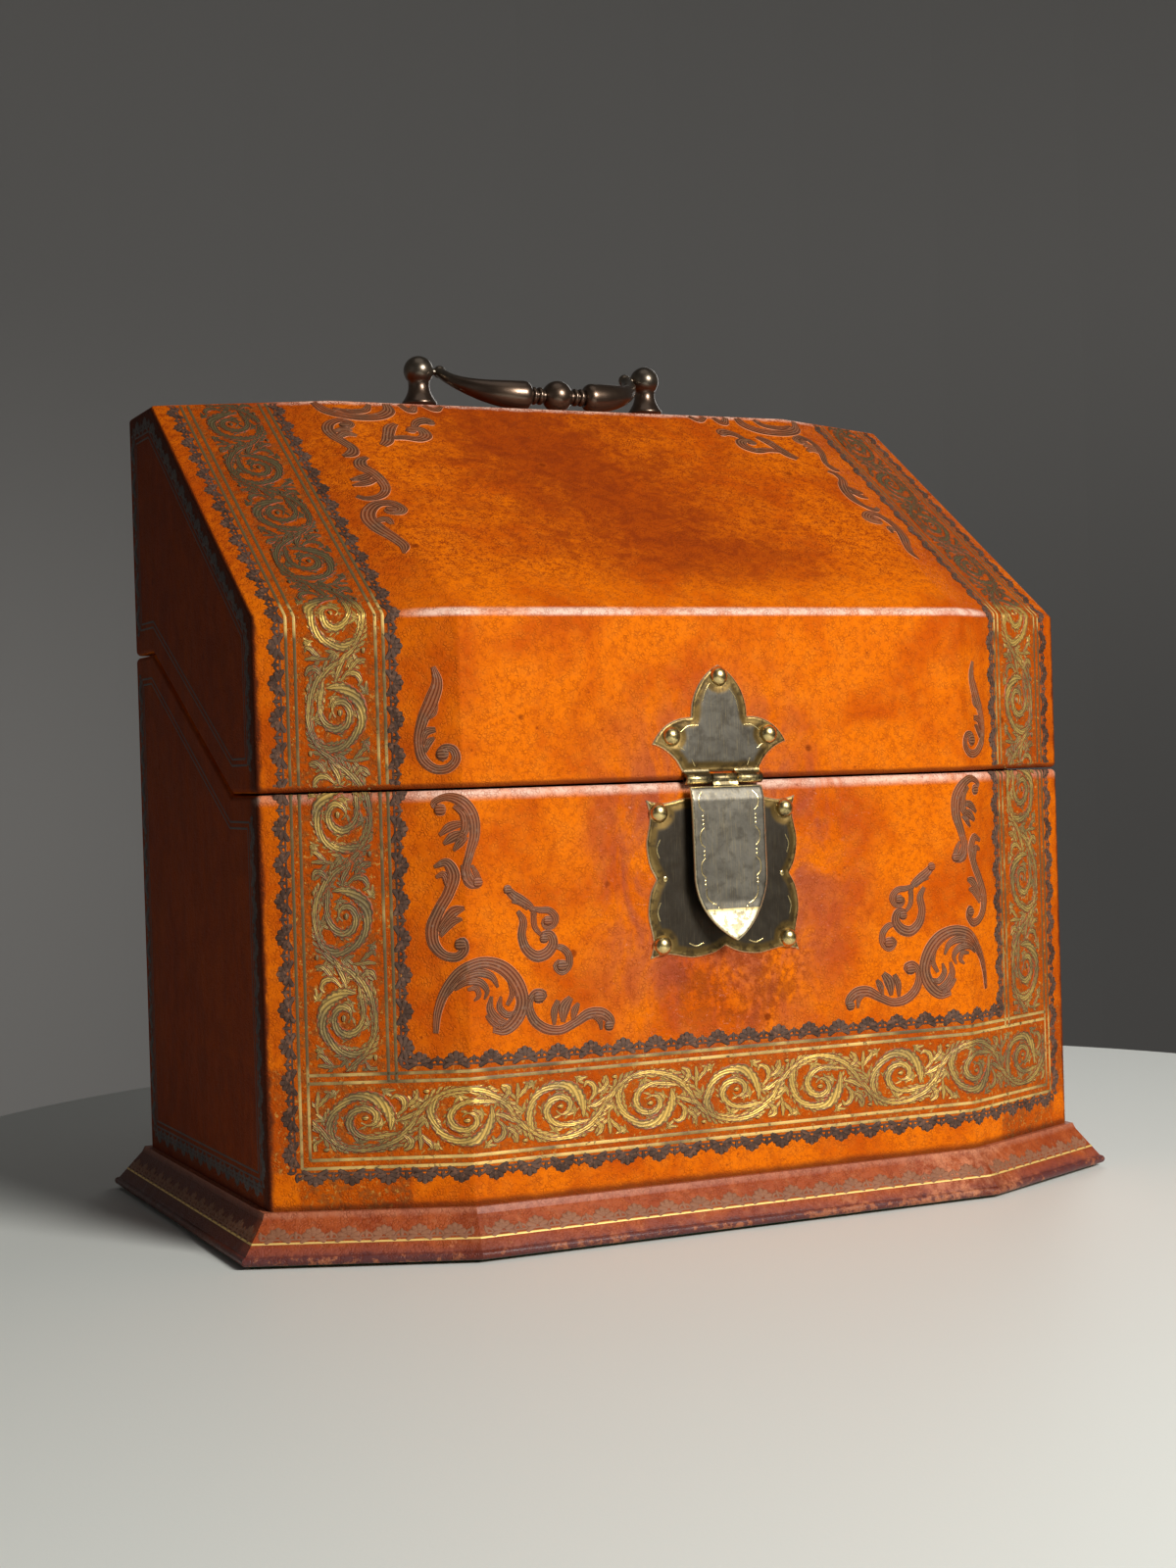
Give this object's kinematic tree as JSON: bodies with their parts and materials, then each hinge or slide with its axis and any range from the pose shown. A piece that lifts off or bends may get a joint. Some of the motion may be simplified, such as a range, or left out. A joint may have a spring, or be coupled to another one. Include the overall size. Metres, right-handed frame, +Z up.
{
  "type": "letter box",
  "caption": "Slope-front leather-covered letter box with canted front corners, rear-hinged lid, brass hasp, bail handle, stepped letter rack and moulded plinth",
  "frame": {"origin": "middle of the underside of the plinth's felt, where the box stands", "axes": "X across the case to the right seen from the front, Y from the front to the back, Z up"},
  "size_m": [0.3226, 0.1974, 0.3056],
  "materials": {
    "tooled_leather": "aged calf, waxed, blind and gold tooled",
    "plinth_leather": "aged calf, darker and rubbed",
    "carcase_wood": "plain softwood, unpolished",
    "rack_wood": "thin polished hardwood",
    "base_felt": "thin green baize",
    "lining_paper": "plain cream lining paper",
    "bronze": "dark patinated bronze, handled smooth",
    "brass": "old tarnished brass with bright edges",
    "fixing_steel": "dulled steel"
  },
  "bodies": {
    "box": {"base_board": "carcase_wood", "body_front_centre": "carcase_wood", "body_front_wing_left": "carcase_wood", "body_front_wing_right": "carcase_wood", "body_side_left": "carcase_wood", "body_side_right": "carcase_wood", "body_back": "carcase_wood", "rack_side_left": "rack_wood", "rack_side_right": "rack_wood", "divider_1": "rack_wood", "divider_2": "rack_wood", "divider_3": "rack_wood", "plinth_front": "carcase_wood", "plinth_wing_left": "carcase_wood", "plinth_wing_right": "carcase_wood", "plinth_side_left": "carcase_wood", "plinth_side_right": "carcase_wood", "plinth_back": "carcase_wood", "body_cover": "tooled_leather", "plinth_cover": "plinth_leather", "base_felt": "base_felt", "body_lining": "lining_paper", "hinge_body_screws": "fixing_steel", "catch_clip": "fixing_steel", "hasp_lower_plate": "brass", "hasp_lower_nails": "brass", "hinge_left_body_leaf": "brass", "hinge_left_pin": "brass", "hinge_right_body_leaf": "brass", "hinge_right_pin": "brass"},
    "lid": {"lid_front_centre": "carcase_wood", "lid_front_wing_left": "carcase_wood", "lid_front_wing_right": "carcase_wood", "lid_side_left": "carcase_wood", "lid_side_right": "carcase_wood", "lid_back": "carcase_wood", "lid_slope_centre": "carcase_wood", "lid_slope_wing_left": "carcase_wood", "lid_slope_wing_right": "carcase_wood", "lid_top": "carcase_wood", "lid_cover": "tooled_leather", "lid_lining": "lining_paper", "hasp_upper_plate": "brass", "hasp_upper_nails": "brass", "hasp_pin": "brass", "handle_post_left": "bronze", "handle_post_right": "bronze", "handle_washers": "fixing_steel", "handle_nuts": "fixing_steel", "hinge_lid_screws": "fixing_steel", "hinge_left_lid_leaf": "brass", "hinge_right_lid_leaf": "brass"},
    "strap": {"hasp_strap": "brass", "catch_stud": "brass"},
    "bail": {"handle_bail": "bronze"}
  },
  "joints": [
    {"name": "lid_hinge", "type": "hinge", "parent": "box", "child": "lid", "pos_m": [0, 0.0898, 0.1953], "axis": [-1, 0, 0], "range_deg": [0, 105]},
    {"name": "hasp_hinge", "type": "hinge", "parent": "lid", "child": "strap", "pos_m": [-0.002, -0.08945, 0.1452], "axis": [-1, 0, 0], "range_deg": [0, 150]},
    {"name": "handle_swing", "type": "hinge", "parent": "lid", "child": "bail", "pos_m": [0, 0.05825, 0.3], "axis": [-1, 0, 0], "range_deg": [0, 235]}
  ]
}
